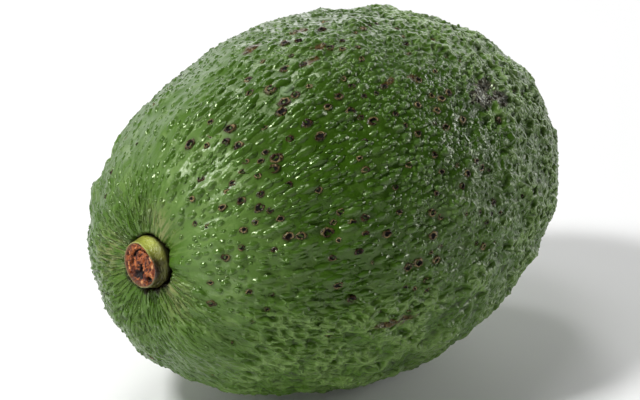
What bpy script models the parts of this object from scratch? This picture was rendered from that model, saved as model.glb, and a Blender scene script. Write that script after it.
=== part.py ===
"""An avocado lying on its side: the whole fruit, and the stub of stem left in its stem end.

Metres, +Z up. The fruit's long axis lies along X, with the stem at -X and the blossom end at +X.
The origin is under the middle of the box round both pieces, on the surface that the fruit rests on.
"""

from math import cos, exp, hypot, pi, radians, sin

import bpy

# ---------------------------------------------------------------- driving dimensions
FRUIT_DIAMETER = 0.0700
STEM_HALF = 0.0540  # widest ring to where the stem end would come to without its basin
BLOSSOM_HALF = 0.0530  # widest ring to the tip of the blossom end
FULLNESS = 1.88  # 2 is an ellipse, less is a little more pointed
REST_FLAT_DEPTH = 0.00035  # the fruit's own weight flattens this much of it

STEM_SIDE = -0.0022  # the stem grows a little to one side of the long axis
STEM_RISE = 0.0030  # and above it
STEM_TILT = radians(4)  # and points up by this much
BASIN_DEPTH = 0.0060  # how far the skin is drawn in round the stem
BASIN_REACH = 0.0110  # the basin has faded to about a third of its depth this far from the stem

SOCKET_DIAMETER = 0.0104
SOCKET_DEPTH = 0.0014

STUB_DIAMETER = 0.0096
STUB_FACE_DIAMETER = 0.0088
STUB_PROUD = 0.0028  # from the skin round the stub to its cut face
STUB_GAP = 0.0003  # under the stub, to the socket's floor
STUB_FACE_HOLLOW = 0.0003

ROUND_STEPS = 64
LENGTH_STEPS = 40
STUB_STEPS = 40

FRUIT_RADIUS = FRUIT_DIAMETER / 2
STUB_RADIUS = STUB_DIAMETER / 2
FACE_RIM_RADIUS = 0.88 * STUB_FACE_DIAMETER / 2  # the face's highest ring, inside its worn edge

# ---------------------------------------------------------------- the fruit's form
# The fruit is built standing on its blossom end, so that its local +Z points out of the stem end,
# and laid down afterwards, when its local +X points up. Heights count from the widest ring.


def drawn_in(up, side):
    """How far the basin round the stem lowers a point of the standing fruit's stem end."""
    apart = hypot(up - STEM_RISE, side - STEM_SIDE)
    return BASIN_DEPTH * exp(-((apart / BASIN_REACH) ** 2))


def skin_point(direction):
    """The point of the standing fruit's skin for a point of a sphere of radius 1."""
    power = 2 / FULLNESS
    spread = hypot(direction.x, direction.y)
    widening = FRUIT_RADIUS * spread ** (power - 1) if spread > 0 else 0.0
    up, side = direction.x * widening, direction.y * widening
    if direction.z < 0:
        return up, side, -BLOSSOM_HALF * (-direction.z) ** power
    return up, side, STEM_HALF * direction.z**power - drawn_in(up, side)


def stem_end_height(up, side):
    """The height of the stem end's skin over a point of the widest ring's plane."""
    share = (hypot(up, side) / FRUIT_RADIUS) ** FULLNESS
    return STEM_HALF * (1 - share) ** (1 / FULLNESS) - drawn_in(up, side)


STEM_HEIGHT = stem_end_height(STEM_RISE, STEM_SIDE)
# The stub's cut face is the far end: tilted up, its lowest edge reaches furthest out.
FAR_HEIGHT = STEM_HEIGHT + STUB_PROUD * cos(STEM_TILT) + FACE_RIM_RADIUS * sin(STEM_TILT)
WIDEST_X = (FAR_HEIGHT - BLOSSOM_HALF) / 2  # centres the box on the origin
AXIS_Z = FRUIT_RADIUS - REST_FLAT_DEPTH


# ---------------------------------------------------------------- helpers


def clear_scene():
    for thing in list(bpy.data.objects):
        bpy.data.objects.remove(thing, do_unlink=True)


def new_collection(name):
    collection = bpy.data.collections.new(name)
    bpy.context.scene.collection.children.link(collection)
    return collection


def move_to(collection, thing, name):
    thing.name = name
    for holder in list(thing.users_collection):
        holder.objects.unlink(thing)
    collection.objects.link(thing)
    return thing


def material(name, colour, roughness):
    made = bpy.data.materials.new(name)
    made.use_nodes = True
    shader = made.node_tree.nodes["Principled BSDF"]
    shader.inputs["Base Color"].default_value = (*colour, 1.0)
    shader.inputs["Roughness"].default_value = roughness
    shader.inputs["Metallic"].default_value = 0.0
    made.diffuse_color = (*colour, 1.0)
    return made


def cut(thing, cutter):
    cutter.hide_render = True
    cutter.display_type = "WIRE"
    step = thing.modifiers.new(f"cut_{cutter.name}", "BOOLEAN")
    step.operation = "DIFFERENCE"
    step.object = cutter


def point_along_stem(thing, out):
    """Turns a piece built pointing up so that it points out of the stem end, and sets its place.

    `out` is the distance from the skin at the stem, outwards, to the piece's own origin.
    """
    thing.rotation_euler = (0.0, -pi / 2 + STEM_TILT, 0.0)
    thing.location = (
        WIDEST_X - STEM_HEIGHT - out * cos(STEM_TILT),
        STEM_SIDE,
        AXIS_Z + STEM_RISE + out * sin(STEM_TILT),
    )


# ---------------------------------------------------------------- the pieces


def make_fruit(parts, cutters):
    """The fruit, one grown piece: a full oval with a basin round the stem and a spot to lie on."""
    bpy.ops.mesh.primitive_uv_sphere_add(
        segments=ROUND_STEPS, ring_count=LENGTH_STEPS, radius=1.0
    )
    fruit = move_to(parts, bpy.context.object, "fruit")
    for point in fruit.data.vertices:
        point.co = skin_point(point.co)
    fruit.rotation_euler = (0.0, -pi / 2, 0.0)
    fruit.location = (WIDEST_X, 0.0, AXIS_Z)
    fruit.data.shade_smooth()
    fruit.data.materials.append(material("avocado_skin", (0.085, 0.155, 0.035), 0.38))

    slab_height = 0.010
    bpy.ops.mesh.primitive_cube_add(size=1.0, location=(WIDEST_X, 0.0, -slab_height / 2))
    slab = move_to(cutters, bpy.context.object, "rest_slab")
    slab.scale = (FRUIT_DIAMETER, FRUIT_DIAMETER, slab_height)
    cut(fruit, slab)

    reach = 0.012  # long enough to come out of the basin
    bpy.ops.mesh.primitive_cylinder_add(
        vertices=STUB_STEPS, radius=SOCKET_DIAMETER / 2, depth=reach
    )
    socket = move_to(cutters, bpy.context.object, "stem_socket")
    point_along_stem(socket, reach / 2 - SOCKET_DEPTH)
    cut(fruit, socket)


def make_stem_stub(parts):
    """The button of stem that stays on the fruit: bark round a browned, slightly hollow cut face."""
    root = STUB_GAP - SOCKET_DEPTH
    worn_edge = 0.0003
    profile = [
        (0.0, root),
        (STUB_RADIUS * 0.90, root),
        (STUB_RADIUS * 0.98, 0.0),
        (STUB_RADIUS, STUB_PROUD * 0.35),
        (STUB_FACE_DIAMETER / 2, STUB_PROUD - 3 * worn_edge),
        (STUB_FACE_DIAMETER / 2 * 0.98, STUB_PROUD - worn_edge),
        (FACE_RIM_RADIUS, STUB_PROUD),
        (FACE_RIM_RADIUS * 0.6, STUB_PROUD - 0.7 * STUB_FACE_HOLLOW),
        (0.0, STUB_PROUD - STUB_FACE_HOLLOW),
    ]
    mesh = bpy.data.meshes.new("stem_stub")
    points = [(radius, 0.0, height) for radius, height in profile]
    mesh.from_pydata(points, [(i, i + 1) for i in range(len(points) - 1)], [])
    stub = bpy.data.objects.new("stem_stub", mesh)
    parts.objects.link(stub)
    turn = stub.modifiers.new("turn", "SCREW")
    turn.axis = "Z"
    turn.steps = turn.render_steps = STUB_STEPS
    turn.use_merge_vertices = True
    turn.merge_threshold = 1e-5
    turn.use_normal_calculate = True
    point_along_stem(stub, 0.0)
    mesh.materials.append(material("stem_wood", (0.30, 0.12, 0.045), 0.60))


clear_scene()
avocado = new_collection("avocado")
cutting_tools = new_collection("cutters")
make_fruit(avocado, cutting_tools)
make_stem_stub(avocado)
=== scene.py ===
# %% [markdown]
# # An avocado lying on its side
#
# This notebook dresses a plain CAD model of an avocado: one smooth green oval and one turned button
# of stem. Everything here happens round that frame, in metres, with +Z up. The fruit's long axis lies
# along X, its stem at -X, and it rests on the plane z = 0.
#
# A glossy green skin is hard for one reason: nothing on it is flat, and nothing repeats. So most of
# the lesson is about one surface, built from the largest form down to the smallest speck.

# %% Load the frame
from math import cos, pi, radians, sin

import bpy
import numpy as np
from mathutils import Matrix, Vector, noise


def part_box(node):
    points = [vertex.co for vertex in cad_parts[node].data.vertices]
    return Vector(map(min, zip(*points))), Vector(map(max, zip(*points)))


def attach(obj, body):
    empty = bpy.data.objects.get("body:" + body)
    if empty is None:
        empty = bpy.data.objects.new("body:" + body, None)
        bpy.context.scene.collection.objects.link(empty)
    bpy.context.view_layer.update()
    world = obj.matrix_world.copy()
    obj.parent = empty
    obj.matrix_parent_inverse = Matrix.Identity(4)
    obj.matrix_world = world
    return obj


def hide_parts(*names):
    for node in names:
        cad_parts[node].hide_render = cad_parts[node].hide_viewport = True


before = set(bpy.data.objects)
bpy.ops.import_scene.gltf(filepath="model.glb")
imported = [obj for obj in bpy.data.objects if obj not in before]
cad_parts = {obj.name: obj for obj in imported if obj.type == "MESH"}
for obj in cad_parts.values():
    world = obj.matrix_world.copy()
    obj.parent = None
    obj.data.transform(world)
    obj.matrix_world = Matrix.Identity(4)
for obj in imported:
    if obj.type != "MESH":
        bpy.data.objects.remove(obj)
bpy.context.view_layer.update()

MM = 0.001

# %% [markdown]
# ## Two helpers
#
# Colours are easier to judge as sRGB hex values, but a renderer works in linear light, so one function
# turns the first into the second. Node trees are built with one more function, which adds a node, sets
# it up, and joins it to what came before. It is the same function for every kind of node, and the
# settings that come up again and again have short names.

# %% Helpers for colours and nodes


def linear(hex_colour):
    """'#5a7832' as a linear RGBA colour."""
    srgb = [int(hex_colour[i : i + 2], 16) / 255 for i in (1, 3, 5)]
    return (*[c / 12.92 if c <= 0.04045 else ((c + 0.055) / 1.055) ** 2.4 for c in srgb], 1.0)


def add(tree, kind, settings=None, *first, inputs=None, **named):
    """Adds a node. Its inputs come in order, by number, or by name, with _ for a space.

    Each input takes a value, an output, or a node's first output.
    """
    node = tree.nodes.new(kind)
    for name, value in (settings or {}).items():
        setattr(node, name, value)
    named = {name.replace("_", " "): value for name, value in named.items()}
    for name, value in {**dict(enumerate(first)), **(inputs or {}), **named}.items():
        if isinstance(value, bpy.types.Node):
            value = value.outputs[0]
        if isinstance(value, bpy.types.NodeSocket):
            tree.links.new(value, node.inputs[name])
        else:
            node.inputs[name].default_value = value
    return node


MATH = "ShaderNodeMath"
VECTOR = "ShaderNodeVectorMath"
MAP = "ShaderNodeMapRange"
MIX = "ShaderNodeMix"
NOISE = "ShaderNodeTexNoise"
VORONOI = "ShaderNodeTexVoronoi"
SURFACE = "ShaderNodeBsdfPrincipled"
READ = "GeometryNodeInputNamedAttribute"
WRITE = "GeometryNodeStoreNamedAttribute"
SAMPLE = "GeometryNodeSampleIndex"
MOVE = "GeometryNodeSetPosition"
TIMES = {"operation": "MULTIPLY"}
TIMES_PLUS = {"operation": "MULTIPLY_ADD"}
OVER = {"operation": "DIVIDE"}
MINUS = {"operation": "SUBTRACT"}
SCALED = {"operation": "SCALE"}
SMOOTHLY = {"interpolation_type": "SMOOTHSTEP"}
NUMBER = {"data_type": "FLOAT"}
DIRECTION = {"data_type": "FLOAT_VECTOR"}
AT_POINTS = {"data_type": "FLOAT", "domain": "POINT"}

# %% [markdown]
# ## The form of the fruit
#
# The bare form is a full oval: an ellipse turned about X, a touch more pointed than a true one, with
# a shallow basin drawn in round the stem. The frame gives its size and place. The same rule as the
# CAD's gives the surface again, this time with a point wherever the skin needs one.

# %% Sizes, from the frame and the fruit's rule
fruit_low, fruit_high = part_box("fruit")
stub_low, stub_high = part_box("stem_stub")

FRUIT_RADIUS = (fruit_high.y - fruit_low.y) / 2
AXIS_Z = fruit_high.z - FRUIT_RADIUS
STEM_HALF = 54 * MM  # widest ring to the stem end, before the basin is drawn in
BLOSSOM_HALF = 53 * MM
FULLNESS = 1.88  # 2 would be an ellipse
WIDEST_X = fruit_high.x - BLOSSOM_HALF

STEM_SIDE = (stub_low.y + stub_high.y) / 2
STEM_RISE = 3.0 * MM
STEM_TILT = radians(4)
BASIN_DEPTH = 6.0 * MM
BASIN_REACH = 11.0 * MM


def bare_skin(directions):
    """Points of the bare form, for unit directions from inside the fruit."""
    power = 2 / FULLNESS
    spread = np.hypot(directions[:, 1], directions[:, 2])
    radius = FRUIT_RADIUS * spread**power
    round_the_axis = directions[:, 1:] / np.maximum(spread, 1e-9)[:, None]
    side, rise = radius * round_the_axis[:, 0], radius * round_the_axis[:, 1]
    towards_stem = -directions[:, 0]
    half = np.where(towards_stem > 0, STEM_HALF, BLOSSOM_HALF)
    height = np.sign(towards_stem) * half * np.abs(towards_stem) ** power
    apart = np.hypot(side - STEM_SIDE, rise - STEM_RISE)
    basin = BASIN_DEPTH * np.exp(-((apart / BASIN_REACH) ** 2)) * (towards_stem > 0)
    return np.stack([WIDEST_X - height + basin, side, AXIS_Z + rise], axis=1)


stem_share = (np.hypot(STEM_SIDE, STEM_RISE) / FRUIT_RADIUS) ** FULLNESS
stem_height = STEM_HALF * (1 - stem_share) ** (1 / FULLNESS) - BASIN_DEPTH
STEM_POINT = Vector((WIDEST_X - stem_height, STEM_SIDE, AXIS_Z + STEM_RISE))
print("stem point, mm:", [round(v / MM, 2) for v in STEM_POINT])

# %% [markdown]
# ## A mesh to carry the skin
#
# A sphere with poles crowds its faces where the detail is, and starves the middle. A cube that is
# subdivided and blown up into a sphere has nothing but quads of nearly one size, so every bump is drawn
# equally well. Seven subdivisions give about half a millimetre between points.

# %% The bare skin, as a blown-up cube
SUBDIVISIONS = 7

bpy.ops.mesh.primitive_cube_add(size=2.0)
skin_cage = bpy.context.object
skin_cage.name = "skin_cage"
divide = skin_cage.modifiers.new("divide", "SUBSURF")
divide.subdivision_type = "SIMPLE"
divide.levels = divide.render_levels = SUBDIVISIONS
skin_mesh = bpy.data.meshes.new_from_object(skin_cage.evaluated_get(bpy.context.evaluated_depsgraph_get()))
bpy.data.objects.remove(skin_cage)

cube = np.zeros(len(skin_mesh.vertices) * 3)
skin_mesh.vertices.foreach_get("co", cube)
cube = cube.reshape(-1, 3)
squares = cube**2
next_two = squares[:, [1, 2, 0]] + squares[:, [2, 0, 1]]
products = squares[:, [1, 2, 0]] * squares[:, [2, 0, 1]]
ball = cube * np.sqrt(1 - next_two / 2 + products / 3)
bare = bare_skin(ball / np.linalg.norm(ball, axis=1, keepdims=True))
skin_mesh.vertices.foreach_set("co", bare.ravel())
skin_mesh.name = "avocado_skin"
print(len(skin_mesh.polygons), "quads carry the skin")

# %% [markdown]
# ## Coordinates that grow with the fruit
#
# An avocado's skin stretches as the fruit swells. Round the stem it is pulled into creases that
# all run to the stem. Half way along, the marks are nearly round, and at the blossom end they
# are not stretched at all. One set of coordinates holds all of this: `grain`, in millimetres.
# Its X runs from stem to blossom and is squeezed near the stem, and its Y and Z go round the
# fruit and never shrink to nothing at the stem. Any pattern that is read from it comes out stretched.

# %% Distances from the stem, and the grain


def ease(value, low, high):
    """0 below low, 1 above high, and smooth between them, for numbers or arrays."""
    share = np.clip((value - low) / (high - low), 0, 1)
    return share * share * (3 - 2 * share)


def hump(value, middle, width):
    """1 at the middle, and smoothly down to nothing some two widths from it."""
    return np.exp(-(((value - middle) / width) ** 2))


angles = np.linspace(0, pi, 2000)
outline = bare_skin(np.stack([-np.cos(angles), np.zeros_like(angles), np.sin(angles)], axis=1))
outline_steps = np.linalg.norm(np.diff(outline, axis=0), axis=1)
outline_length = np.concatenate([[0], np.cumsum(outline_steps)])
polar = np.arccos(np.clip(-ball[:, 0] / np.linalg.norm(ball, axis=1), -1, 1))
along_outline = np.interp(polar, angles, outline_length)
straight = np.linalg.norm(bare - np.array(STEM_POINT), axis=1)
nearness = hump(straight, 0, 16 * MM)
from_stem = (nearness * straight + (1 - nearness) * along_outline) / MM  # mm along the skin

lean = np.clip((WIDEST_X - bare[:, 0]) / stem_height, 0, 1) ** 3
across = bare[:, 1] - STEM_SIDE * lean
above = bare[:, 2] - AXIS_Z - STEM_RISE * lean
reach = np.hypot(across, above) / MM
bearing = np.arctan2(across, above)

LEAST_GIRTH = 19.0  # mm: the grain's radius at the stem, where the real one is nothing
girth = np.sqrt(reach**2 + LEAST_GIRTH**2 * hump(from_stem, 0, 45))
stations = np.linspace(0, outline_length[-1] / MM, 2000)
stretch = 0.22 + 0.56 * ease(stations, 6, 42) + 0.22 * ease(stations, 60, 110)
grain_along = np.concatenate([[0], np.cumsum(np.diff(stations) * stretch[:-1])])
grain = np.stack(
    [np.interp(from_stem, stations, grain_along), girth * np.cos(bearing), girth * np.sin(bearing)], axis=1
)
print("stem to blossom along the skin, mm:", round(stations[-1], 1), "grain:", round(grain_along[-1], 1))

# %% [markdown]
# ## Zones of the skin
#
# The skin isn't the same all over. Round the stem it is creased. The sunny side has the dark specks and the
# large round pebbles. Towards the blossom end and underneath, the pebbles run together into a net, and
# small pimples crowd the ground before it. Each zone is a number from 0 to 1 for every point, kept as an
# attribute, and so are the distance from the stem and how long and large the bumps grow. Later trees
# and materials ask for them by name. Distances here are in mm along the skin from the stem, and angles
# go round the fruit's long axis from the top.

# %% Zones of the skin, as attributes
TOP_MIDDLE = radians(-20)  # the bearing of the middle of the part that has no net
SUNNY_SIDE = radians(-50)  # the bearing where most of the lenticels are


def turned_from(bearing, middle):
    """How far round the fruit a bearing is from another one, from 0 to pi."""
    return np.abs((bearing - middle + pi) % (2 * pi) - pi)


def keep(mesh, name, values, kind="FLOAT"):
    """Stores one value for each point of a mesh."""
    made = mesh.attributes.new(name, kind, "POINT")
    field = "vector" if kind == "FLOAT_VECTOR" else "value"
    made.data.foreach_set(field, np.asarray(values, np.float32).ravel())


outward = np.zeros(len(skin_mesh.vertices) * 3)
skin_mesh.vertex_normals.foreach_get("vector", outward)
outward = outward.reshape(-1, 3)
away = nearness[:, None] * (bare - np.array(STEM_POINT)) / np.maximum(straight, MM)[:, None]
away[:, 0] += 1 - nearness
along = away - outward * np.sum(away * outward, axis=1, keepdims=True)
along /= np.maximum(np.linalg.norm(along, axis=1, keepdims=True), 1e-6)

turn_away = turned_from(bearing, SUNNY_SIDE)
band = (1 - ease(turn_away, radians(38), radians(62))) * (1 - ease(from_stem, 72, 88))
spotted = (0.12 + 0.88 * band) * ease(from_stem, 11, 17) * (1 - ease(from_stem, 112, 122))

off_top = turned_from(bearing, TOP_MIDDLE)
clear_of_net = 1 - ease(off_top, radians(58), radians(88)) * ease(from_stem, 15, 32)
netted = 1 - (1 - ease(from_stem, 58, 92)) * clear_of_net
shaded = ease(turn_away, radians(25), radians(75))  # away from the sunny side
near_end = 1 - ease(from_stem, 26, 44)
# How likely a pebble is, and then a pimple.
crowded = ease(from_stem, 9, 13) * (1 - 0.5 * shaded * near_end)
crowded *= 1 - 0.75 * netted * ease(from_stem, 34, 56)
dotted = 0.5 + 0.5 * np.maximum(0.5 * shaded * near_end, ease(from_stem, 50, 66))
dotted *= ease(from_stem, 7, 10)
dotted *= 1 - 0.85 * netted
# The deeper green, partly painted shade, narrows away from the stem, by 1.2 degrees a mm.
deep_edge = np.radians(58 - 1.2 * np.clip(from_stem - 25, 0, 40))
deep = ease(from_stem, 24, 40) * (1 - ease(from_stem, 84, 104))
deep *= 1 - ease(turn_away - deep_edge, 0, radians(16))
CORKY_FANS = ((-14, 24), (-122, 20), (95, 25))  # a bearing and a spread, in degrees
corky = sum(hump(turned_from(bearing, radians(at)), 0, radians(spread)) for at, spread in CORKY_FANS)

# How long and how large the pebbles, pimples and lenticels are.
pulled = (1 - ease(from_stem, 36, 84)) * (0.3 + 0.7 * np.maximum(shaded, ease(from_stem, 18, 32)))
far_side = ease(turn_away, 0.8, 1.3) * (1 - 0.6 * ease(turn_away, 1.9, 2.5))
grown = (0.85 + 0.15 * ease(from_stem, 12, 36)) * (1 - 0.5 * far_side) * (1 - 0.3 * netted)

keep(skin_mesh, "grain", grain, "FLOAT_VECTOR")
keep(skin_mesh, "along", along, "FLOAT_VECTOR")
SKIN_ZONES = {
    "from_stem": from_stem,
    "creased": 1 - ease(from_stem / (9 + 16 * shaded), 0.35, 1.0),
    "corky": corky * (1 - ease(from_stem, 7, 15)),
    "pebbled": (0.1 + 0.9 * ease(from_stem, 44, 64)) * (1 - 0.7 * netted),
    "netted": netted,
    "deep": deep,
    # a dusty haze near the stem, also painted paler as a sheen on the sunny side
    "hazy": ease(from_stem, 8, 13) * (1 - ease(from_stem, 26, 40)) * (1 - 0.8 * shaded),
    "spotted": spotted,
    "crowded": crowded,
    "dotted": dotted,
    "drawn_out": 1 + 1.5 * pulled,
    "grown": grown,
}
for name, values in SKIN_ZONES.items():
    keep(skin_mesh, name, values)
print("zones kept on the skin:", ", ".join(SKIN_ZONES))

# %% [markdown]
# ## Marks of a life on the tree
#
# Every fruit has a few marks of its own: rust where leaves rubbed it, a corky scar, a speck of wax,
# and at the far tip the little scar that the flower left. Each is given by its distance
# from the stem and its bearing round the fruit, and is stored as a soft oval. The material then frays
# its edges with noise, which costs nothing and keeps the ovals from looking drawn.

# %% Marks, given one by one
MARKS = {  # mm from the stem, degrees round from the top, mm long, mm wide
    "rusty": [
        (52.5, 10, 3.6, 1.6),
        (56, -12, 2.6, 1.3),
        (60, -8, 2.0, 1.2),
        (63, 6, 2.8, 1.6),
        (70, -33, 1.9, 1.2),
        (65, -31, 1.7, 1.0),
        (52, -107, 7.0, 1.0),
        (48, 118, 5.0, 2.0),
        (90, 60, 3.5, 2.2),
        (74, 172, 4.5, 2.4),
    ],
    "scarred": [(84, -46, 2.6, 2.0), (87, -42, 2.2, 1.2), (89, -48, 1.8, 1.6), (66, 88, 3.2, 2.0)],
    "waxed": [(46.5, -17, 1.5, 1.2)],
    "tipped": [(stations[-1], 0, 2.6, 2.6)],
}
for name, ovals in MARKS.items():
    strength = np.zeros(len(bare))
    for distance, degrees, length, width in ovals:
        turn = turned_from(bearing, radians(degrees))
        oval = ((from_stem - distance) / length) ** 2 + (turn * reach / width) ** 2
        strength = np.maximum(strength, np.exp(-oval))
    keep(skin_mesh, name, strength)
print("marks placed by hand:", {name: len(ovals) for name, ovals in MARKS.items()})

# %% [markdown]
# ## Running Geometry Nodes from a script
#
# Three trees follow, and all of them are set up and run in one way: a group with named inputs for its
# sizes, put on an object as a modifier whose inputs are set by the sockets' identifiers, and then
# evaluated into a plain mesh, so nothing is left live.

# %% More helpers: a new tree and its end, running it, and a new object
FLOAT = "NodeSocketFloat"
OBJECT = "NodeSocketObject"


def new_tree(name, inputs):
    """A Geometry Nodes tree with a geometry input and the named ones. Also returns their outputs."""
    tree = bpy.data.node_groups.new(name, "GeometryNodeTree")
    tree.is_modifier = True
    for label, kind in {"Geometry": "NodeSocketGeometry", **inputs}.items():
        tree.interface.new_socket(label, in_out="INPUT", socket_type=kind)
    tree.interface.new_socket("Geometry", in_out="OUTPUT", socket_type="NodeSocketGeometry")
    return tree, add(tree, "NodeGroupInput").outputs


def grow(thing, tree, values):
    """Runs a tree on an object, with values for its named inputs, and keeps the result as its mesh."""
    step = thing.modifiers.new(tree.name, "NODES")
    step.node_group = tree
    for socket in tree.interface.items_tree:
        if socket.name in values:
            step[socket.identifier] = values[socket.name]
    bpy.context.view_layer.update()
    graph = bpy.context.evaluated_depsgraph_get()
    mesh = bpy.data.meshes.new_from_object(thing.evaluated_get(graph), depsgraph=graph)
    thing.modifiers.clear()
    thing.data = mesh


HOLD_UP = (-1.0, -1.0, 0.0)  # the least coordinates of a point, so that nothing sinks below the table


def close_tree(tree, geometry, material):
    """The end of a tree that makes a finished piece: held up by the table, made real, and painted."""
    here = add(tree, "GeometryNodeInputPosition")
    on_table = add(tree, VECTOR, {"operation": "MAXIMUM"}, here, HOLD_UP)
    rested = add(tree, MOVE, Geometry=geometry, Position=on_table)
    realized = add(tree, "GeometryNodeRealizeInstances", Geometry=rested)
    painted = add(tree, "GeometryNodeSetMaterial", Geometry=realized, Material=material)
    add(tree, "NodeGroupOutput", Geometry=painted)
    return tree


def new_object(name, mesh):
    thing = bpy.data.objects.new(name, mesh)
    bpy.context.scene.collection.objects.link(thing)
    return thing


# %% [markdown]
# ## Where the lenticels are
#
# Lenticels are the pores that a fruit breathes through. On an avocado they turn corky and stand out
# as dark specks with a raised rim. They come first, because the skin is smooth round each of them.
# Poisson disk scattering keeps them a least distance apart, as pores that share the air do, and
# the `spotted` zone thins them out where the fruit has few.

# %% A tree that scatters points, and the lenticels' places
SCATTER_INPUTS = {
    "Zone": "NodeSocketString",
    "Least gap": FLOAT,
    "Tries per sq mm": FLOAT,
    "Smallest": FLOAT,
    "Largest": FLOAT,
    "Seed": "NodeSocketInt",
}
LENTICEL_PLACES = ("spotted", 1.9, 0.060, 0.46, 0.95, 11)  # in the order of those inputs


def make_scatter_tree():
    """Points a least gap apart, each with a size in mm. `Zone` names the attribute that thins them."""
    tree, given = new_tree("scattered_places", SCATTER_INPUTS)
    zone = add(tree, READ, NUMBER, Name=given["Zone"])
    gap = add(tree, MATH, TIMES, given["Least gap"], MM)
    tries = add(tree, MATH, TIMES, given["Tries per sq mm"], 1 / MM**2)
    limits = {"Distance Min": gap, "Density Max": tries, "Density Factor": zone, "Seed": given["Seed"]}
    kind = "GeometryNodeDistributePointsOnFaces"
    scattered = add(tree, kind, {"distribute_method": "POISSON"}, Mesh=given["Geometry"], **limits)
    points, normal = scattered.outputs["Points"], scattered.outputs["Normal"]
    facing = add(tree, WRITE, {**AT_POINTS, **DIRECTION}, Geometry=points, Name="outward", Value=normal)
    luck = add(tree, "FunctionNodeRandomValue", NUMBER, Min=0.0, Max=1.0, Seed=3)
    few_large = add(tree, MATH, {"operation": "POWER"}, luck.outputs["Value"], 1.6)
    size = add(tree, MAP, Value=few_large, To_Min=given["Smallest"], To_Max=given["Largest"])
    grown = add(tree, READ, NUMBER, Name="grown")
    size = add(tree, MATH, TIMES, size, grown)
    sized = add(tree, WRITE, AT_POINTS, Geometry=facing, Name="size", Value=size)
    dots = add(tree, "GeometryNodePointsToVertices", Points=sized)
    add(tree, "NodeGroupOutput", Geometry=dots)
    return tree


scatter = make_scatter_tree()
places = new_object("lenticel_places", skin_mesh)
grow(places, scatter, dict(zip(SCATTER_INPUTS, LENTICEL_PLACES)))
print("lenticels:", len(places.data.vertices))

# %% [markdown]
# ## The relief of the skin
#
# Five things raise the skin itself: swellings a finger wide, lumps half of that, ripples like those of
# leather, a net of ridges that takes over towards the blossom end and underneath, and creases that run
# to the stem. Each is a noise or a Voronoi pattern on the grain, and their sum moves each point along
# its normal. Geometry Nodes does this well, because every size stays a named input. The net and the
# creases are read again in the material, which sharpens them and adds the finest pimples and pores,
# both too small for the faces to round off. A last step keeps every point on or above the table.

# %% The patterns that raise the skin, for any node tree
RELIEF_SIZES = {
    "Swelling width": 16.0,  # mm, as all of these
    "Swelling height": 0.25,
    "Lump spacing": 9.0,
    "Lump height": 0.5,
    "Ripple spacing": 2.8,
    "Ripple height": 0.16,
    "Net spacing": 1.8,
    "Net height": 0.9,
    "Crease spacing": 0.95,
    "Crease height": 0.42,
    "Seam radius": 5.5,
    "Seam depth": 1.7,
}
ZONES = ("from_stem", "creased", "pebbled", "netted")
PIMPLE_SPACING = 1.0
PIMPLE_HEIGHT = 0.2
PORE_SPACING = 0.5
PORE_HEIGHT = 0.07
NET_PATCH = 6.0  # the net comes and goes over this many mm
NET_HALF_WIDTH = 0.42  # of a ridge, in cells
TIP_DEPTH = 0.7
SEAM_SLOPE = 1.1  # from the skin to the floor of the seam


def round_bumps(tree, place, spacing, thinnest, fattest, chance):
    """Domes, each with a radius and height of its own. `chance` is the share of cells that have one."""
    per_mm = add(tree, MATH, OVER, 1.0, spacing)
    cell = add(tree, VORONOI, Vector=place, Scale=per_mm, Randomness=0.85)
    luck = add(tree, "ShaderNodeSeparateXYZ", None, cell.outputs["Color"]).outputs
    radius = add(tree, MAP, Value=luck[0], To_Min=thinnest, To_Max=fattest)
    share = add(tree, MATH, OVER, cell.outputs["Distance"], radius)
    square = add(tree, MATH, {"operation": "POWER"}, share, 2.0)
    dome = add(tree, MATH, {**MINUS, "use_clamp": True}, 1.0, square)
    there = add(tree, MATH, {"operation": "LESS_THAN"}, luck[1], chance)
    tall = add(tree, MAP, Value=luck[2], To_Min=0.5, To_Max=1.0)
    sized = add(tree, MATH, TIMES, dome, tall)
    return add(tree, MATH, TIMES, sized, there)


def ridge_net(tree, place, spacing):
    """Narrow ridges round the cells of a Voronoi pattern, bent by noise. Their width is in cells."""
    per_mm = add(tree, MATH, OVER, 1.0, spacing)
    longer = add(tree, VECTOR, TIMES, place, (0.6, 1.0, 1.0))
    warp = add(tree, NOISE, Vector=place, Scale=0.6, Detail=1.0)
    warped = add(tree, VECTOR, TIMES_PLUS, warp.outputs["Color"], (1.8, 1.8, 1.8), longer)
    away = add(tree, VORONOI, {"feature": "DISTANCE_TO_EDGE"}, Vector=warped, Scale=per_mm)
    return add(tree, MAP, Value=away.outputs["Distance"], From_Min=NET_HALF_WIDTH, From_Max=0.0)


def furrows(tree, place, spacing):
    """Narrow dark furrows between broad folds, drawn out along the grain's X."""
    per_mm = add(tree, MATH, OVER, 1.0, spacing)
    thread = add(tree, VECTOR, TIMES, place, (0.4, 1.0, 1.0))
    wrinkle = add(tree, NOISE, Vector=thread, Scale=per_mm, Detail=1.0)
    return add(tree, MAP, SMOOTHLY, Value=wrinkle, From_Min=0.33, From_Max=0.55, To_Min=-1.0, To_Max=0.0)


def fine_relief(tree, grain, zone, size, spot):
    """The height in mm of the net and the creases, smoothed away at the lenticels, and both parts."""
    ridges = ridge_net(tree, grain, size["Net spacing"])
    drift = add(tree, NOISE, Vector=grain, Scale=1 / NET_PATCH, Detail=1.0)
    patchy = add(tree, MAP, Value=drift, From_Min=0.36, From_Max=0.56, To_Min=0.5)
    whole_net = add(tree, MATH, TIMES, ridges, zone["netted"])
    net = add(tree, MATH, TIMES, whole_net, patchy)
    folds = furrows(tree, grain, size["Crease spacing"])
    creases = add(tree, MATH, TIMES, folds, zone["creased"])
    height = 0.0
    for part, name in ((net, "Net height"), (creases, "Crease height")):
        height = add(tree, MATH, TIMES_PLUS, part, size[name], height)
    clear = add(tree, MAP, SMOOTHLY, Value=spot, From_Min=1.0, From_Max=1.8)
    kept = add(tree, MATH, TIMES, height, clear)
    return kept, net, creases


# %% The relief, as a Geometry Nodes tree


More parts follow.
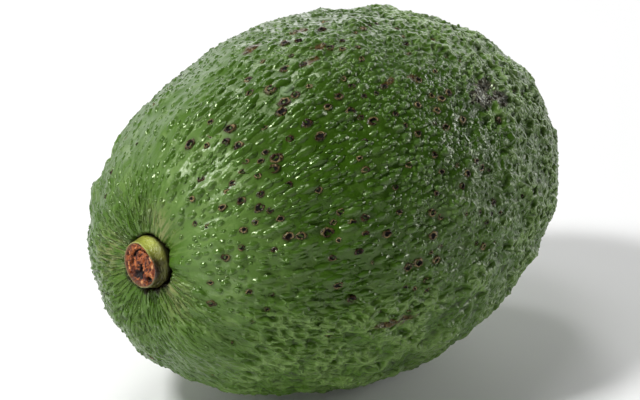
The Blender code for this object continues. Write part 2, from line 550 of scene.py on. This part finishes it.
def make_relief_tree():
    inputs = {name: FLOAT for name in RELIEF_SIZES}
    tree, given = new_tree("skin_relief", {**inputs, "Places": OBJECT, "Skin": "NodeSocketMaterial"})
    zone = {
        name: add(tree, READ, NUMBER, Name=name) for name in (*ZONES, "size", "tipped", "crowded", "dotted")
    }
    grain, along = [add(tree, READ, DIRECTION, Name=name) for name in ("grain", "along")]
    here = add(tree, "GeometryNodeInputPosition")

    # How far the nearest lenticel is: 0 at its middle and 1 at its rim, an oval that lies along the grain.
    # Past 5 of its radii the distance no longer matters, so it stops there.
    dots = add(tree, "GeometryNodeObjectInfo", Object=given["Places"]).outputs["Geometry"]
    nearest = add(tree, "GeometryNodeSampleNearest", {"domain": "POINT"}, Geometry=dots)
    dot_place, dot_size = [
        add(tree, SAMPLE, {**AT_POINTS, **kind}, Geometry=dots, Value=value, Index=nearest)
        for kind, value in ((DIRECTION, here), (NUMBER, zone["size"]))
    ]
    offset = add(tree, VECTOR, MINUS, here, dot_place)
    forward = add(tree, VECTOR, {"operation": "DOT_PRODUCT"}, offset, along).outputs["Value"]
    whole = add(tree, VECTOR, {"operation": "DOT_PRODUCT"}, offset, offset).outputs["Value"]
    forward_square = add(tree, MATH, TIMES, forward, forward)
    oval = add(tree, MATH, TIMES_PLUS, forward_square, -0.45, whole)
    metres = add(tree, MATH, {"operation": "SQRT"}, oval)
    millimetres = add(tree, MATH, OVER, metres, MM)
    ratio = add(tree, MATH, OVER, millimetres, dot_size)
    spot = add(tree, MATH, {"operation": "MINIMUM"}, ratio, 5.0)

    height, _, _ = fine_relief(tree, grain, zone, given, spot)

    place_mm = add(tree, VECTOR, SCALED, here, Scale=1 / MM)
    folded = add(tree, MATH, TIMES_PLUS, zone["netted"], 1.2, 1.0)
    for width, tall, place, share in (
        ("Swelling width", "Swelling height", place_mm, 1.0),
        ("Lump spacing", "Lump height", grain, 1.0),
        ("Ripple spacing", "Ripple height", grain, folded),
    ):
        per_mm = add(tree, MATH, OVER, 1.0, given[width])
        wave = add(tree, NOISE, Vector=place, Scale=per_mm, Detail=1.0)
        swelling = add(tree, MAP, Value=wave, From_Min=0.3, From_Max=0.7, To_Min=-1.0)
        most = add(tree, MATH, TIMES, given[tall], share)
        height = add(tree, MATH, TIMES_PLUS, swelling, most, height)

    # The seam round the stub, which the rind paints dark as shade: a groove whose edge is torn by a
    # millimetre either way.
    torn = add(tree, NOISE, Vector=place_mm, Scale=0.9, Detail=1.0)
    ragged = add(tree, MATH, TIMES_PLUS, torn, 2.0, zone["from_stem"])
    edge = add(tree, MATH, MINUS, ragged, 1.0)
    inner = add(tree, MATH, MINUS, given["Seam radius"], SEAM_SLOPE)
    seam = add(tree, MAP, SMOOTHLY, Value=edge, From_Min=given["Seam radius"], From_Max=inner, To_Max=-1.0)
    height = add(tree, MATH, TIMES_PLUS, seam, given["Seam depth"], height)
    height = add(tree, MATH, TIMES_PLUS, zone["tipped"], -TIP_DEPTH, height)

    # Pebbles and pimples keep clear of the lenticels.
    apart = add(tree, MAP, Value=spot, From_Min=1.4, From_Max=1.9)
    pebble_room = add(tree, MATH, TIMES, apart, zone["crowded"])
    pimple_room = add(tree, MATH, TIMES, apart, zone["dotted"])
    geometry = given["Geometry"]
    for name, value in (("spot", spot), ("pebble_room", pebble_room), ("pimple_room", pimple_room)):
        geometry = add(tree, WRITE, AT_POINTS, Geometry=geometry, Name=name, Value=value)
    normal = add(tree, "GeometryNodeInputNormal")
    lift = add(tree, MATH, TIMES, height, MM)
    offset = add(tree, VECTOR, SCALED, normal, Scale=lift)
    raised = add(tree, MOVE, Geometry=geometry, Offset=offset)
    return close_tree(tree, raised, given["Skin"])


# %% [markdown]
# ## The skin's material
#
# The rind is a leathery layer under a thin coat of wax. Wax and plant cells both bend light like most
# organic matter, so the IOR is about 1.46, and it is not a metal. Handling has polished the wax on
# the pebbles, to a roughness near 0.1 by the stem and 0.3 at the blossom end, and that gives the glints.
# Between them it is satin, 0.2 to 0.4, and in the haze near the stem it is dusty, about 0.5. That haze is
# also painted paler: partly a dusty bloom, partly a painted sheen. What it throws back is a little green,
# because some of that light has been in the rind. On the sunny side, half way along, the green is painted
# deeper: partly the rind's own deeper green, partly painted shade. The wax there is the most even, so it
# is glossier. A weak clear coat stands for the film of wax that lies over everything. The colour is built
# up as paint would be: a blotchy green, then the layers in the list below, each over those before it.
# Some layers are painted shade and some are painted highlight, and each of those says so.

# %% A new material, and painting it in layers


def new_material(name, attributes):
    """An empty material, its tree, and the values of the named attributes of its mesh."""
    made = bpy.data.materials.new(name)
    made.use_nodes = True
    tree = made.node_tree
    tree.nodes.clear()
    kept = {
        label: add(tree, "ShaderNodeAttribute", {"attribute_name": label}).outputs["Fac"]
        for label in attributes
    }
    return made, tree, kept


ALL_OVER = 1.0  # the zone of a layer that isn't held to one
WHOLLY = (1.0, 0.0, 0.5)  # a value and its limits, for a layer that only its zone shapes


def paint(tree, colour, layers):
    """Lays colours over one another. Each layer is (value, low, high, most, zone, colour).

    A layer is missing where its value is at low. It is at its most where the value is at high, times the
    zone. Low may be the larger of the two.
    """
    for value, low, high, most, zone, over in layers:
        shown = add(tree, MAP, SMOOTHLY, Value=value, From_Min=low, From_Max=high, To_Max=most)
        amount = add(tree, MATH, {**TIMES, "use_clamp": True}, shown, zone)
        over = linear(over) if isinstance(over, str) else over
        mixed = add(tree, MIX, {"data_type": "RGBA"}, inputs={0: amount, 6: colour, 7: over})
        colour = mixed.outputs[2]
    return colour


# %% Rind under wax


def make_rind():
    names = (*ZONES, "corky", "hazy", "deep", "spot", "tone", *MARKS)
    made, tree, kept = new_material("leathery_rind_under_wax", names)
    grain = add(tree, "ShaderNodeAttribute", {"attribute_name": "grain"}).outputs["Vector"]
    place = add(tree, "ShaderNodeTexCoord").outputs["Object"]
    place_mm = add(tree, VECTOR, SCALED, place, Scale=1 / MM)
    height, net, creases = fine_relief(tree, grain, kept, RELIEF_SIZES, kept["spot"])
    pimples = round_bumps(tree, place_mm, PIMPLE_SPACING, 0.35, 0.60, kept["pebbled"])
    blotches = add(tree, NOISE, Vector=grain, Scale=1 / 9, Detail=3.0)
    fray = add(tree, NOISE, Vector=place_mm, Scale=1 / 1.4, Detail=3.0)
    fleck = add(tree, NOISE, Vector=place_mm, Scale=1 / 0.4, Detail=2.0)

    streaks = add(tree, NOISE, Vector=grain, Scale=1 / 0.9, Detail=2.0)
    wax_bloom_and_sheen = add(tree, NOISE, Vector=grain, Scale=1 / 4, Detail=3.0, Distortion=1.2)
    pores = add(tree, NOISE, Vector=place_mm, Scale=1 / PORE_SPACING, Detail=1.0)
    # A mark's soft oval, with its edge broken up by noise.
    torn = {name: add(tree, MATH, TIMES_PLUS, fray, 0.9, kept[name]) for name in MARKS}
    torn_edge = add(tree, MATH, TIMES_PLUS, fray, 3.0, kept["from_stem"])

    rust = paint(tree, linear("#2a1d0c"), [(fleck, 0.35, 0.65, 1.0, ALL_OVER, "#5a4322")])
    scar = paint(tree, linear("#17110e"), [(fleck, 0.46, 0.66, 1.0, ALL_OVER, "#6a6556")])
    top = paint(tree, linear("#42641f"), [(*WHOLLY, 1.0, kept["pebbled"], "#5c7c3c")])
    layers = (
        (*WHOLLY, 1.0, blotches, "#496d17"),
        # pale smears: partly wax bloom, partly painted sheen
        (wax_bloom_and_sheen, 0.52, 0.66, 0.25, ALL_OVER, "#7b9650"),
        # painted paler near the stem: partly a dusty bloom, partly a painted sheen
        (*WHOLLY, 0.22, kept["hazy"], "#7b9a58"),
        # painted deeper green: partly the rind's own, partly painted shade
        (*WHOLLY, 0.5, kept["deep"], "#27440a"),
        (pimples, 0.12, 0.0, 0.5, kept["pebbled"], "#1f330c"),  # painted shade in the gaps between pimples
        (pimples, 0.30, 0.65, 0.4, kept["pebbled"], "#6f9344"),  # and painted highlight on their tops
        (kept["tone"], 0.0, 0.08, 0.25, ALL_OVER, "#1c2c09"),  # painted shade at the foot of a pebble
        # the top of a pebble, painted a lighter green
        (kept["tone"], 0.15, 0.75, 0.4, ALL_OVER, top),
        (net, 0.38, 0.02, 0.85, kept["netted"], "#1d310b"),  # painted shade in the pits of the net
        (net, 0.45, 0.95, 0.8, ALL_OVER, "#718e4b"),  # and painted highlight on its ridges
        (streaks, 0.38, 0.62, 0.7, kept["corky"], "#8c8a5c"),
        (*WHOLLY, -0.45, creases, "#26360e"),  # painted shade in the creases, whose height is below 0
        (kept["spot"], 1.7, 1.0, 0.5, ALL_OVER, "#33401a"),  # a darker ground round a lenticel: partly a brownish-green halo, partly painted shade
        (torn["rusty"], 0.90, 1.25, 1.0, ALL_OVER, rust),
        (torn["scarred"], 0.65, 0.85, 1.0, ALL_OVER, scar),
        (torn["waxed"], 0.85, 1.05, 0.6, ALL_OVER, "#8da47c"),
        (torn["tipped"], 0.90, 1.15, 1.0, ALL_OVER, rust),
        (torn_edge, 7.5, 6.6, 1.0, ALL_OVER, "#1d140c"),  # painted shade in the seam round the stub
    )
    colour = paint(tree, linear("#32520e"), layers)

    texture = add(tree, MATH, TIMES_PLUS, pores, PORE_HEIGHT, height)
    texture = add(tree, MATH, TIMES_PLUS, pimples, PIMPLE_HEIGHT, texture)
    bump = add(tree, "ShaderNodeBump", Height=texture, Distance=MM, Strength=0.9)
    raised = add(tree, MATH, {"operation": "MAXIMUM"}, pimples, kept["tone"])
    dusty = add(tree, MAP, Value=kept["hazy"], To_Min=0.33, To_Max=0.5)
    satin = add(tree, MATH, TIMES_PLUS, kept["deep"], -0.13, dusty)
    satin = add(tree, MATH, TIMES_PLUS, kept["netted"], 0.07, satin)
    shiny = add(tree, MAP, Value=kept["pebbled"], To_Min=0.11, To_Max=0.27)
    shiny = add(tree, MATH, TIMES_PLUS, kept["netted"], 0.16, shiny)
    polish = add(tree, MAP, Value=raised, From_Max=0.5, To_Min=satin, To_Max=shiny)
    look = {
        "Base Color": colour,
        "Roughness": polish,
        "IOR": 1.46,
        "Specular Tint": (0.84, 1.0, 0.58, 1.0),
        "Metallic": 0.0,
        "Coat Weight": 0.2,
        "Coat Roughness": 0.2,
        "Coat IOR": 1.45,
        "Coat Normal": bump,
        "Normal": bump,
    }
    shader = add(tree, SURFACE, **look)
    add(tree, "ShaderNodeOutputMaterial", Surface=shader)
    return made


# %% Raise the skin
rind = make_rind()
skin = new_object("skin", skin_mesh)
grow(skin, make_relief_tree(), {**RELIEF_SIZES, "Places": places, "Skin": rind})
skin.data.shade_smooth()
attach(skin, "root")
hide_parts("fruit")
print("skin:", len(skin.data.polygons), "faces")

# %% [markdown]
# ## Pebbles, pimples and lenticels
#
# Three small shapes cover the skin. A pebble is a low dome with a flared foot, so that it runs out
# into the skin round it, and a pimple is a smaller and plainer one. A lenticel is a low crater of cork,
# with a brown rim and a middle painted near black: partly dark cork, partly the shade of a deep hole. A
# Voronoi pattern could raise domes on the skin's own mesh, but its faces are too large to round off
# anything so small, and a round top is what makes a glint.
# So each is a turned shape of a few dozen faces. One tree sets a copy on each place, turned to the
# skin, drawn out along the grain where the skin was stretched, and roughened, so that no two are alike.
# Each shape carries a tone, from its foot to its top, that its material reads.

# %% Three turned shapes
PEBBLE = (  # radius, height and a tone that the material reads, with the foot's radius as 1
    (0.36, 0.90, 1.0),
    (0.70, 0.56, 0.75),
    (0.98, 0.14, 0.25),
    (1.30, -0.10, 0.0),
)
PIMPLE = (
    (0.42, 0.84, 1.0),
    (0.84, 0.40, 0.6),
    (1.20, -0.10, 0.0),
)
CRATER = (
    (0.26, 0.02, 0.0),
    (0.50, 0.16, 0.3),
    (0.72, 0.40, 0.7),
    (0.92, 0.24, 0.9),
    (1.20, -0.30, 1.0),
)


def turned_mesh(name, profile, facets):
    """A closed turned mesh from the middle of its top to the middle of its underside."""
    points = [(0.0, 0.0, profile[0][1])]
    tones = [profile[0][2]]
    for radius, height, tone in profile:
        for step in range(facets):
            angle = 2 * pi * step / facets
            points.append((radius * cos(angle), radius * sin(angle), height))
            tones.append(tone)
    points.append((0.0, 0.0, profile[-1][1]))
    tones.append(profile[-1][2])
    last = (len(profile) - 1) * facets
    faces = []
    for step in range(facets):
        here, after = 1 + step, 1 + (step + 1) % facets
        faces.append((0, here, after))
        for ring in range(len(profile) - 1):
            inner, outer = ring * facets, (ring + 1) * facets
            faces.append((inner + here, outer + here, outer + after, inner + after))
        faces.append((len(points) - 1, last + after, last + here))
    mesh = bpy.data.meshes.new(name)
    mesh.from_pydata(points, [], faces, shade_flat=False)
    for edge in mesh.edges:
        edge.use_edge_sharp = all(last < point <= last + facets for point in edge.vertices)
    keep(mesh, "tone", tones)
    return mesh


# %% A tree that sets copies on their places
COPY_INPUTS = {
    "Shape": OBJECT,
    "Skin": OBJECT,
    "Tallness": FLOAT,
    "Share of stretch": FLOAT,
    "Roughening": FLOAT,
    "Material": "NodeSocketMaterial",
}


def make_copies_tree():
    tree, given = new_tree("copies_on_places", COPY_INPUTS)
    facing, along = [add(tree, READ, DIRECTION, Name=name) for name in ("outward", "along")]
    size, drawn_out = [add(tree, READ, NUMBER, Name=name) for name in ("size", "drawn_out")]
    skin_shape = add(tree, "GeometryNodeObjectInfo", Object=given["Skin"]).outputs["Geometry"]
    close = add(tree, "GeometryNodeProximity", {"target_element": "FACES"}, Geometry=skin_shape)
    seated = add(tree, MOVE, Geometry=given["Geometry"], Position=close.outputs["Position"])
    shape = add(tree, "GeometryNodeObjectInfo", Object=given["Shape"]).outputs["Geometry"]
    axes = {"Primary Axis": facing, "Secondary Axis": along}
    turned = add(tree, "FunctionNodeAxesToRotation", {"primary_axis": "Z", "secondary_axis": "X"}, **axes)
    metres = add(tree, MATH, TIMES, size, MM)
    length = add(tree, MATH, {"operation": "POWER"}, drawn_out, given["Share of stretch"])
    longer = add(tree, MATH, TIMES, metres, length)
    luck = add(tree, "FunctionNodeRandomValue", NUMBER, Min=0.6, Max=1.3, Seed=5)
    upright = add(tree, MATH, TIMES, metres, given["Tallness"])
    tall = add(tree, MATH, TIMES, upright, luck.outputs["Value"])
    stretched = add(tree, "ShaderNodeCombineXYZ", X=longer, Y=metres, Z=tall)
    placed = {"Points": seated, "Instance": shape, "Rotation": turned, "Scale": stretched}
    copies = add(tree, "GeometryNodeInstanceOnPoints", **placed)
    realized = add(tree, "GeometryNodeRealizeInstances", Geometry=copies)
    here = add(tree, "GeometryNodeInputPosition")
    place_mm = add(tree, VECTOR, SCALED, here, Scale=1 / MM)
    wobble = add(tree, NOISE, Vector=place_mm, Scale=1.8, Detail=1.0)
    centred = add(tree, VECTOR, MINUS, wobble.outputs["Color"], (0.5, 0.5, 0.5))
    push = add(tree, MATH, TIMES, given["Roughening"], MM)
    offset = add(tree, VECTOR, SCALED, centred, Scale=push)
    rough = add(tree, MOVE, Geometry=realized, Offset=offset)
    return close_tree(tree, rough, given["Material"])


copies = make_copies_tree()


def set_copies(dots, profile, facets, tallness, stretched, roughening, material):
    """Turns an object's points into copies of one turned shape, set on the skin."""
    shape = new_object("shape", turned_mesh("shape", profile, facets))
    values = (shape, skin, tallness, stretched, roughening, material)
    grow(dots, copies, dict(zip(COPY_INPUTS, values)))
    bpy.data.objects.remove(shape)


# %% [markdown]
# ## Pebbles and pimples
#
# A pebble is about a millimetre across or a little more, and longer where the skin was pulled.
# The pimples fill the ground between the pebbles. Both are scattered with a least gap, because
# each began as a point that pushed its neighbours away, and both have the rind's own material.

# %% Pebbles and pimples
BUMPS = {  # shape, facets, tallness, and the scatter: zone, least gap, tries, smallest, largest, seed
    "pebbles": (PEBBLE, 8, 0.80, ("pebble_room", 1.60, 0.90, 0.38, 0.86, 4)),
    "pimples": (PIMPLE, 6, 0.85, ("pimple_room", 1.05, 0.90, 0.26, 0.48, 9)),
}
for name, (profile, facets, tallness, scattering) in BUMPS.items():
    bumps = new_object(name, skin.data)
    grow(bumps, scatter, dict(zip(SCATTER_INPUTS, scattering)))
    print(name + ":", len(bumps.data.vertices))
    set_copies(bumps, profile, facets, tallness, stretched=1.0, roughening=0.4, material=rind)
    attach(bumps, "root")
    print(name + ":", sum(len(face.vertices) - 2 for face in bumps.data.polygons), "triangles")

# %% [markdown]
# ## Cork and lenticels
#
# Cork is dead cells full of air. It is dull and brown, and it bends light less than the rind does. The
# hollow in its middle is painted near black: partly dark cork, partly the shade of a deep hole that the
# low crater doesn't have. The rim is worn, so it catches a small glint. The crater's tone tells the
# material where the hollow ends, and noise tears that edge, because a perfect ring would look drawn.

# %% Cork


def make_cork():
    """Dead, air-filled cells: dull and brown, with a hollow painted near black, partly as shade."""
    made, tree, kept = new_material("lenticel_cork", ("tone",))
    tone = kept["tone"]
    place = add(tree, "ShaderNodeTexCoord").outputs["Object"]
    place_mm = add(tree, VECTOR, SCALED, place, Scale=1 / MM)
    mood = add(tree, NOISE, Vector=place_mm, Scale=1 / 2.5, Detail=0.0)
    speck = add(tree, NOISE, Vector=place_mm, Scale=1 / 0.4, Detail=2.0)

    torn = add(tree, MATH, TIMES_PLUS, speck, 0.8, tone)
    rim = paint(tree, linear("#3c2612"), [(mood, 0.35, 0.65, 1.0, ALL_OVER, "#8c7a52")])
    layers = (
        (speck, 0.34, 0.56, 1.0, ALL_OVER, rim),
        (torn, 1.05, 0.75, 1.0, ALL_OVER, "#0b0704"),  # the hollow, painted near black: partly dark cork, partly painted shade
        (torn, 1.25, 1.40, 1.0, ALL_OVER, "#37451c"),  # the foot, where the rind begins
    )
    colour = paint(tree, linear("#140c05"), layers)
    bump = add(tree, "ShaderNodeBump", Height=speck, Distance=0.2 * MM, Strength=0.8)
    worn = add(tree, MAP, Value=tone, From_Min=0.3, From_Max=0.7, To_Min=0.85, To_Max=0.2)
    shader = add(tree, SURFACE, Base_Color=colour, Roughness=worn, IOR=1.3, Normal=bump)
    add(tree, "ShaderNodeOutputMaterial", Surface=shader)
    return made


lenticels = new_object("lenticels", places.data)
set_copies(lenticels, CRATER, 12, tallness=1.0, stretched=0.4, roughening=0.9, material=make_cork())
bpy.data.objects.remove(places)
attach(lenticels, "root")
print("lenticels:", len(lenticels.data.polygons), "faces")

# %% [markdown]
# ## The stub of stem
#
# A picker leaves a button of stem on the fruit, because a torn-out stem lets rot in. It is bark round
# wood: green-yellow bark, a thin pale lip where it was cut, and a cut face that has browned and
# dried into a ring of hard vessels round a torn, hollow pith. It is made as one closed skin of rings,
# from the foot up the wall, over the lip and in across the face. A formula gives the height at
# each point, so the hollows and fibres are real dents.

# %% The stub's sizes, and rough ground for its face
STUB_RADIUS = 4.8 * MM
FACE_RADIUS = 4.25 * MM
STUB_PROUD = 2.8 * MM
STUB_FOOT = -1.1 * MM
STUB_FACETS = 144
WALL_RINGS = 16
LIP_RINGS = 5
FACE_RINGS = 44
LIP_DROP = 0.5 * MM  # from the face's level to the wall's top
DENTS = (  # mm up, then the middle and the half widths across and up, in face radii
    (-1.90, -0.08, -0.50, 0.14, 0.34),
    (-1.20, -0.36, -0.62, 0.15, 0.17),
    (-1.30, 0.48, -0.56, 0.18, 0.13),
    (-0.50, -0.46, 0.34, 0.22, 0.14),
    (0.40, 0.26, -0.20, 0.12, 0.34),
    (0.32, -0.08, 0.18, 0.26, 0.12),
)


def soft_noise(points, scale, octaves=2):
    """Noise between about -1 and 1 at rows of points in mm."""
    return np.array([noise.fractal(Vector(p) * scale, 1.0, 2.0, octaves) for p in points])


# %% Make the stub
turns = np.arange(STUB_FACETS) * 2 * pi / STUB_FACETS
flattened = 1 - 0.18 * hump(turns, radians(54), radians(40))  # where the bark folds over

rows = []
for step in range(WALL_RINGS):
    share = step / (WALL_RINGS - 1)
    height = STUB_FOOT + share * (STUB_PROUD - LIP_DROP - STUB_FOOT)
    belly = sin(pi * min(1.0, share * 1.15)) ** 0.7 * 0.06 + 0.94
    lean_in = ease(share, 0.35, 1.0)
    radius = STUB_RADIUS * belly * (1 - lean_in) + FACE_RADIUS * 1.03 * flattened * lean_in
    rows.append((radius * np.ones_like(turns), height * np.ones_like(turns), 0.0))
for step in range(LIP_RINGS):
    angle = (step + 1) / (LIP_RINGS + 1) * pi / 2
    radius = FACE_RADIUS * flattened * (1.03 - 0.07 * (1 - cos(angle)))
    height = STUB_PROUD - LIP_DROP + 0.45 * MM * sin(angle)
    rows.append((radius, height * np.ones_like(turns), 0.0))
for step in range(FACE_RINGS):
    share = 0.96 * (1 - step / FACE_RINGS)
    rows.append((FACE_RADIUS * flattened * share, (STUB_PROUD - 0.1 * MM) * np.ones_like(turns), 1.0))

wide = np.array([row[0] for row in rows])
high = np.array([row[1] for row in rows])
on_face = np.array([row[2] for row in rows])[:, None] * np.ones_like(wide)
x, y = wide * np.cos(turns), wide * np.sin(turns)
cells = np.stack([x.ravel(), y.ravel(), high.ravel()], axis=1) / MM
u, v = x / FACE_RADIUS, y / FACE_RADIUS
out_share = np.hypot(u, v)
fibres = soft_noise(cells * [1.0, 0.45, 1.0], 1.1, 3).reshape(wide.shape)
crumbs = soft_noise(cells + [31.0, 0.0, 0.0], 2.4, 3).reshape(wide.shape)
folds = soft_noise(cells * [1.0, 1.0, 0.35], 1.0, 2).reshape(wide.shape)

sunk = -0.35 * ease(0.95 - out_share, 0.0, 0.10)  # inside the lip
sunk += 0.20 * hump(out_share, 0.74, 0.07)  # the hard ring
groove = hump(out_share, 0.62, 0.05)  # inside the ring, and deepest at the top left
sunk -= 0.65 * groove * ease(v - 0.6 * u, -0.6, 0.2)
sunk -= 0.25 * ease(0.56 - out_share, 0.0, 0.2)  # the pith
for tall, middle_u, middle_v, half_width, half_height in DENTS:
    sunk += tall * hump(u, middle_u, half_width) * hump(v, middle_v, half_height)
roughness = ease(0.95 - out_share, 0.0, 0.1)
sunk += roughness * (0.40 * fibres + 0.34 * crumbs)
sunk = np.minimum(sunk, 0.02)
high = high + on_face * sunk * MM
swell = (1 - on_face) * (0.10 * folds + 0.03 * crumbs) * MM
wide = wide + swell

stub_up = Vector((sin(STEM_TILT), 0.0, cos(STEM_TILT)))
stub_out = Vector((-cos(STEM_TILT), 0.0, sin(STEM_TILT)))
stub_right = Vector((0.0, -1.0, 0.0))
seat = Matrix((stub_right, stub_up, stub_out)).transposed()
local = np.stack([wide * np.cos(turns), wide * np.sin(turns), high], axis=2).reshape(-1, 3)
centre_height = float(high[-1].mean())
local = np.vstack([local, [[0.0, 0.0, STUB_FOOT], [0.0, 0.0, centre_height]]])
world_points = local @ np.array(seat).T + np.array(STEM_POINT)

faces = []
foot_middle, face_middle = len(local) - 2, len(local) - 1
for step in range(STUB_FACETS):
    after = (step + 1) % STUB_FACETS
    faces.append((foot_middle, after, step))
    for ring in range(len(rows) - 1):
        low, top = ring * STUB_FACETS, (ring + 1) * STUB_FACETS
        faces.append((low + step, low + after, top + after, top + step))
    last = (len(rows) - 1) * STUB_FACETS
    faces.append((face_middle, last + step, last + after))
stub_mesh = bpy.data.meshes.new("stub")
stub_mesh.from_pydata(world_points.tolist(), [], faces)
# the top of the bark, painted brighter as light
sunny = hump(turned_from(turns, radians(84)), 0, radians(38)) * np.ones_like(wide)
# one side of the stub, painted darker as shadow
bruised = hump(turned_from(turns, radians(2)), 0, radians(42)) * np.ones_like(wide)
for name, values, at_foot, at_face in (
    ("on_face", on_face, 0.0, 1.0),
    ("sunk", on_face * sunk, 0.0, float(sunk[-1].mean())),
    ("sunny", sunny, 0.0, 0.0),
    ("bruised", bruised, 0.0, 0.0),
    ("out_share", out_share, 0.0, 0.0),
    ("proud", high / MM, -1.0, 2.5),
):
    keep(stub_mesh, name, [*values.ravel(), at_foot, at_face])
print("stub:", len(faces), "faces")

# %% [markdown]
# ## Bark and wood
#
# Green bark is smooth and a little waxy, so it is satin. Its top is painted a bright yellow-green as
# light, where it meets the fruit it is painted dark as shade, at the lip it was cut thin and dried pale,
# and one side has a dark brown band of painted shadow. The wood is bare: its sap has browned in the air,
# and it is rough with cut fibres, so it is dull. Its high parts are painted a pale orange, partly dried
# fibre and partly painted highlight, and its hollows are painted near black as shade.

# %% Bark and browned wood


def make_stem_wood():
    """Green bark is smooth and a little waxy; the cut wood has browned and dried, so it is dull."""
    names = ("on_face", "sunk", "sunny", "bruised", "out_share", "proud")
    made, tree, kept = new_material("browned_stem_wood_and_bark", names)
    place = add(tree, "ShaderNodeTexCoord").outputs["Object"]
    turned = add(tree, "ShaderNodeMapping", Vector=place, Scale=(1.0, 1.0, 0.45))
    fibre = add(tree, NOISE, Vector=turned, Scale=1 / (0.45 * MM), Detail=3.0)
    patch = add(tree, NOISE, Vector=place, Scale=1 / (1.6 * MM), Detail=2.0)

    bark_layers = (
        (patch, 0.35, 0.65, 1.0, ALL_OVER, "#5c5d24"),
        # painted light: the top of the bark bright yellow-green
        (*WHOLLY, 1.0, kept["sunny"], "#9fa63c"),
        (kept["proud"], 0.9, -0.2, 1.0, ALL_OVER, "#1d1906"),  # painted shade, dark in the socket
        (kept["proud"], 2.45, 2.7, 0.4, ALL_OVER, "#a09a5c"),  # pale at the lip
        # painted shadow: a dark brown band on one side
        (kept["proud"], 1.5, 2.1, 1.0, kept["bruised"], "#2c1708"),
    )
    wood_layers = (
        (fibre, 0.40, 0.60, 1.0, ALL_OVER, "#ad6029"),
        (patch, 0.5, 0.7, 0.5, ALL_OVER, "#7a2a0c"),
        (kept["sunk"], -0.16, 0.03, 0.85, ALL_OVER, "#d69a62"),  # the high parts, painted pale: partly dried fibre, partly painted highlight
        (kept["out_share"], 0.86, 0.93, 0.8, ALL_OVER, "#4a260f"),
        # painted shade: the hollows near black
        (kept["sunk"], -0.60, -1.0, 1.0, ALL_OVER, "#140503"),
    )
    bark = paint(tree, linear("#33300f"), bark_layers)
    wood = paint(tree, linear("#4a1a08"), wood_layers)
    colour = paint(tree, bark, [(*WHOLLY, 1.0, kept["on_face"], wood)])
    bump = add(tree, "ShaderNodeBump", Height=fibre, Distance=0.35 * MM, Strength=0.8)
    rough = add(tree, MAP, Value=kept["on_face"], To_Min=0.36, To_Max=0.55)
    shader = add(tree, SURFACE, Base_Color=colour, Roughness=rough, IOR=1.5, Normal=bump)
    add(tree, "ShaderNodeOutputMaterial", Surface=shader)
    return made


stub = new_object("stub", stub_mesh)
stub_mesh.materials.append(make_stem_wood())
stub_mesh.shade_smooth()
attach(stub, "root")
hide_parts("stem_stub")

# %% [markdown]
# ## Floor, light and camera
#
# The fruit lies on a sheet of pale paper, which also throws light back up at it. A long lens, a good
# half metre away, keeps the fruit's outline as the eye knows it. One small lamp high on the left is the
# key: it is small because a glint on a pebble is a picture of the lamp, and a large lamp makes a
# large, weak one. The others are larger and weak, and only fill. The broad one behind lights the rim.

# %% Floor, light and camera
VIEW_AZIMUTH = radians(-44.6)
VIEW_ELEVATION = radians(23.8)
VIEW_DISTANCE = 0.600
FRAME_WIDTH = 0.1222  # of the view, at the fruit's middle
SENSOR = 36.0


def outward_from_fruit(azimuth, elevation):
    """A unit vector, for angles round from the front and up from the table."""
    return Vector((sin(azimuth) * cos(elevation), -cos(azimuth) * cos(elevation), sin(elevation)))


middle = Vector((WIDEST_X, 0.0, AXIS_Z))
right = Vector((cos(VIEW_AZIMUTH), sin(VIEW_AZIMUTH), 0.0))
back = outward_from_fruit(VIEW_AZIMUTH, VIEW_ELEVATION)
up = back.cross(right)
aim = middle - 1.88 * MM * right - 0.32 * MM * up  # leaves a little more room on the stem's side

camera_data = bpy.data.cameras.new("camera")
camera_data.sensor_width = SENSOR
camera_data.lens = SENSOR * VIEW_DISTANCE / FRAME_WIDTH
camera = bpy.data.objects.new("camera", camera_data)
bpy.context.scene.collection.objects.link(camera)
facing = Matrix((right, up, back)).transposed().to_4x4()
camera.matrix_world = Matrix.Translation(aim + back * VIEW_DISTANCE) @ facing
bpy.context.scene.camera = camera

bpy.ops.mesh.primitive_plane_add(size=6.0)
floor = bpy.context.object
floor.name = "floor"
paper = bpy.data.materials.new("pale_studio_paper")
paper.use_nodes = True
paper_shader = paper.node_tree.nodes["Principled BSDF"]
paper_shader.inputs["Base Color"].default_value = (0.86, 0.86, 0.86, 1.0)
paper_shader.inputs["Roughness"].default_value = 0.9
floor.data.materials.append(paper)


def soft_light(name, azimuth, elevation, distance, width, height, power):
    """An oblong lamp that faces the fruit, from a direction in degrees."""
    data = bpy.data.lights.new(name, "AREA")
    data.shape = "RECTANGLE"
    data.size, data.size_y = width, height
    data.energy = power
    lamp = bpy.data.objects.new(name, data)
    out = outward_from_fruit(radians(azimuth), radians(elevation))
    lamp.location = middle + out * distance
    lamp.rotation_euler = out.to_track_quat("Z", "Y").to_euler()
    bpy.context.scene.collection.objects.link(lamp)
    return lamp


LAMPS = {  # degrees round from the front, degrees up, metres away, metres wide and high, watts
    "key": (-108, 54, 0.60, 0.10, 0.10, 2.9),
    "top": (-150, 80, 0.60, 0.20, 0.20, 0.6),
    "low_left": (-75, 3, 0.60, 0.40, 0.10, 1.0),
    "left": (-120, 12, 0.60, 0.30, 0.30, 0.2),
    "back_left": (-160, 24, 0.60, 0.30, 0.30, 0.4),
    "high_back": (150, 55, 0.60, 0.12, 0.12, 0.65),
    "right_back": (128, 12, 0.60, 0.30, 0.30, 0.5),
    "right": (92, 12, 0.60, 0.16, 0.16, 0.4),
    "front_right": (62, 12, 0.60, 0.20, 0.20, 1.0),
    "front": (0, 8, 0.60, 0.30, 0.30, 0.2),
    "backdrop": (135, 10, 1.30, 2.60, 1.20, 13.0),
}
for lamp_name, settings in LAMPS.items():
    soft_light(lamp_name, *settings)

world = bpy.data.worlds.new("studio")
bpy.context.scene.world = world
world.use_nodes = True
world.node_tree.nodes["Background"].inputs["Color"].default_value = (1.0, 1.0, 1.0, 1.0)
world.node_tree.nodes["Background"].inputs["Strength"].default_value = 0.02
bpy.context.scene.view_settings.view_transform = "Standard"
